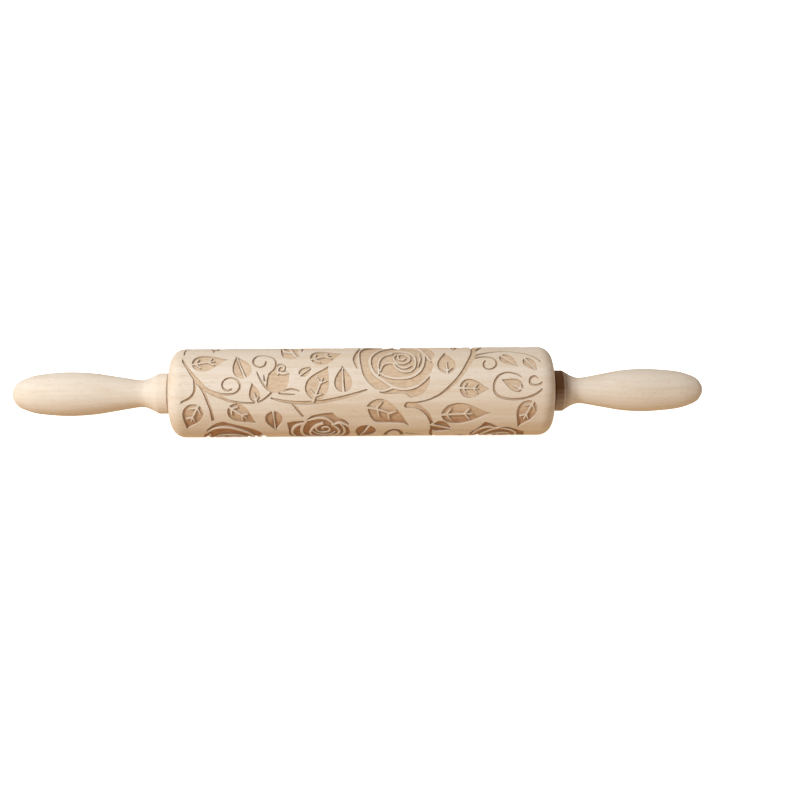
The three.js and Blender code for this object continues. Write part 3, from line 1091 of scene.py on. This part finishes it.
def wood(name, tone=0.0, shift=(0, 0, 0), engraved=False, collar_shadow_from=None):
    """Unfinished beech. The last argument is where along X the face of the collar with the painted
    shadow is.
    """
    n = material(name)
    color, height, layers = grain(n, tone, shift)
    roughness = n.ramp(layers["streaks"], 0.3, 0.8, 0.56, 0.68)
    if engraved:
        color, height, roughness = engrave(n, color, height, roughness, shift)
    if collar_shadow_from is not None:
        color = paint_collar_shadow(n, color, layers["streaks"], collar_shadow_from)
    normal = n.bump(height, GRAIN_HEIGHT)
    return n.finish(color, roughness, Normal=normal, Specular_IOR_Level=WOOD_GLOSS)


def brushed_metal(name, color, roughness):
    """Turned metal: fine rings round the axis, with slight tarnish."""
    n = material(name)
    rings = n.noise(n.scaled(9.0, 0.05, 0.05), detail=2)
    tarnish = n.noise(n.scaled(0.2, 0.2, 0.2), detail=4)
    shade = n.mix(n.ramp(tarnish, 0.4, 0.75, 0, 0.35), color, tuple(0.6 * c for c in color))
    rough = n.math("ADD", n.ramp(rings, 0.3, 0.7, 0.0, 0.12), roughness)
    return n.finish(shade, rough, Normal=n.bump(rings, 0.01), Metallic=1.0)


def moulded_nylon(name):
    n = material(name)
    mottle = n.noise(n.scaled(0.35, 0.35, 0.35), detail=3)
    tooth = n.noise(n.scaled(6.0, 6.0, 6.0), detail=2)
    color = n.mix(n.ramp(mottle, 0.3, 0.7), linear(232, 229, 218), linear(220, 216, 202))
    rough = n.ramp(tooth, 0.3, 0.7, 0.4, 0.52)
    return n.finish(color, rough, Normal=n.bump(tooth, 0.015), Subsurface_Weight=0.08)


# ---- Light and floor ----

KEY = dict(
    kind="AREA", towards=(-0.62, -0.37, 0.69), distance=1.2, energy=11.9, color=(0.93, 0.985, 1.03),
    shape="DISK", size=0.18,
)
WASH = dict(
    kind="SUN", towards=(-0.35, -0.2, 0.92), distance=2.0, energy=3.0, color=(0.97, 1.0, 1.0),
    angle=math.radians(75),
)
WHITE = (1, 1, 1)
CEILING = (0.51, 0.47, 0.45)
BELOW = (0.76, 0.54, 0.33)  # light that comes up from a table is warmer
HORIZON = (-0.2, 0.3)  # the heights between which one changes into the other
LEFT_WALL = 1.3  # how much brighter the room is on the left, and how much darker on the right
RIGHT_WALL = 0.8
FLOOR_REACH = 4.0  # metres, so that its edge is never seen
FLOOR_GLOW = 0.8  # thins the pin's shadow


def make_light(name, receivers, kind, towards, distance, **settings):
    """A light that shines from a direction onto the objects of one collection."""
    data = bpy.data.lights.new(name, kind)
    for key, value in settings.items():
        setattr(data, key, value)
    light = new_object(name, data)
    place = Vector(towards).normalized() * distance
    light.location = place
    light.rotation_mode = "QUATERNION"
    light.rotation_quaternion = (-place).to_track_quat("-Z", "Y")
    light.light_linking.receiver_collection = receivers


def make_room():
    """A pale room, brighter on the left and warm from below, with a white wall behind."""
    world = bpy.data.worlds.new("studio")
    n = Nodes(world)
    x, _, z = n.make("SeparateXYZ", n.places["Generated"])
    color = n.mix(n.ramp(z, *HORIZON, kind="LINEAR"), BELOW, CEILING)
    room = n.make("Background", color, n.ramp(x, -1, 1, LEFT_WALL, RIGHT_WALL, kind="LINEAR"))
    seen = n.make("LightPath")["Is Camera Ray"]
    behind = n.make("MixShader", seen, room[0], n.make("Background", WHITE)[0])
    n.link(behind[0], n.tree.nodes["World Output"].inputs["Surface"])
    bpy.context.scene.world = world
    bpy.context.scene.view_settings.view_transform = "Standard"


def make_studio(pin, floor):
    """A soft lamp up to the left lights only the pin, and a wide one only the floor."""
    make_light("key", pin, **KEY)
    make_light("floor_wash", floor, **WASH)
    make_room()


def make_floor():
    level = -BARREL_RADIUS * MM
    mesh = bpy.data.meshes.new("floor")
    signs = ((-1, -1), (1, -1), (1, 1), (-1, 1))
    corners = [(x * FLOOR_REACH, y * FLOOR_REACH, level) for x, y in signs]
    mesh.from_pydata(corners, [], [(0, 1, 2, 3)])
    floor = new_object("floor", mesh)
    n = material("floor_paper")
    tooth = n.noise(n.scaled(0.8, 0.8, 0.8), detail=3)
    color = n.mix(n.ramp(tooth, 0.3, 0.7), (0.86, 0.86, 0.86), (0.89, 0.89, 0.89))
    glow = dict(Emission_Color=WHITE, Emission_Strength=FLOOR_GLOW)
    mesh.materials.append(n.finish(color, 0.8, Specular_IOR_Level=0.2, **glow))
    floor.visible_diffuse = False
    floor.visible_glossy = False
    floor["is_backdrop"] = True
    return floor


# ---- Putting it together ----

STEEL = (0.55, 0.56, 0.58)
BRASS = (0.72, 0.5, 0.2)
HANDLE_TONE = -0.15  # below 0 the wood is paler
# Where in the noise each handle's grain is taken from, so that the two differ.
HANDLE_GRAIN = {"left_handle": (3.1, 5.2, 1.4), "right_handle": (7.7, 2.3, 8.6)}


def dress(name, look):
    """Gives a CAD node that keeps its shape its material."""
    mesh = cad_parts[name].data
    mesh.materials.clear()
    mesh.materials.append(look)


def gather(name, objects):
    """A collection that only says which objects a light shines on."""
    group = bpy.data.collections.new(name)
    for item in objects:
        group.objects.link(item)
    return group


def main():
    barrel = make_barrel()
    barrel.data.materials.append(wood("engraved_beech", engraved=True))
    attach(barrel, "roller")
    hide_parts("barrel")

    for name, shift in HANDLE_GRAIN.items():
        handle = make_handle(name)
        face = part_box(name)[0].x / MM if name == "right_handle" else None
        # the right handle gets the barrel's painted shadow on its collar
        handle.data.materials.append(wood(name + "_beech", HANDLE_TONE, shift, collar_shadow_from=face))
        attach(handle, "handle_set")
        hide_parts(name)

    steel = brushed_metal("ground_steel", STEEL, 0.26)
    brass = brushed_metal("machined_brass", BRASS, 0.3)
    nylon = moulded_nylon("white_nylon")
    dress("axle_rod", steel)
    for side in ("left", "right"):
        dress(side + "_jam_nut", steel)
        dress(side + "_threaded_insert", brass)
        dress(side + "_bushing", nylon)
        dress(side + "_thrust_washer", nylon)

    floor = make_floor()
    make_studio(gather("lit_pin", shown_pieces()), gather("lit_floor", [floor]))


main()
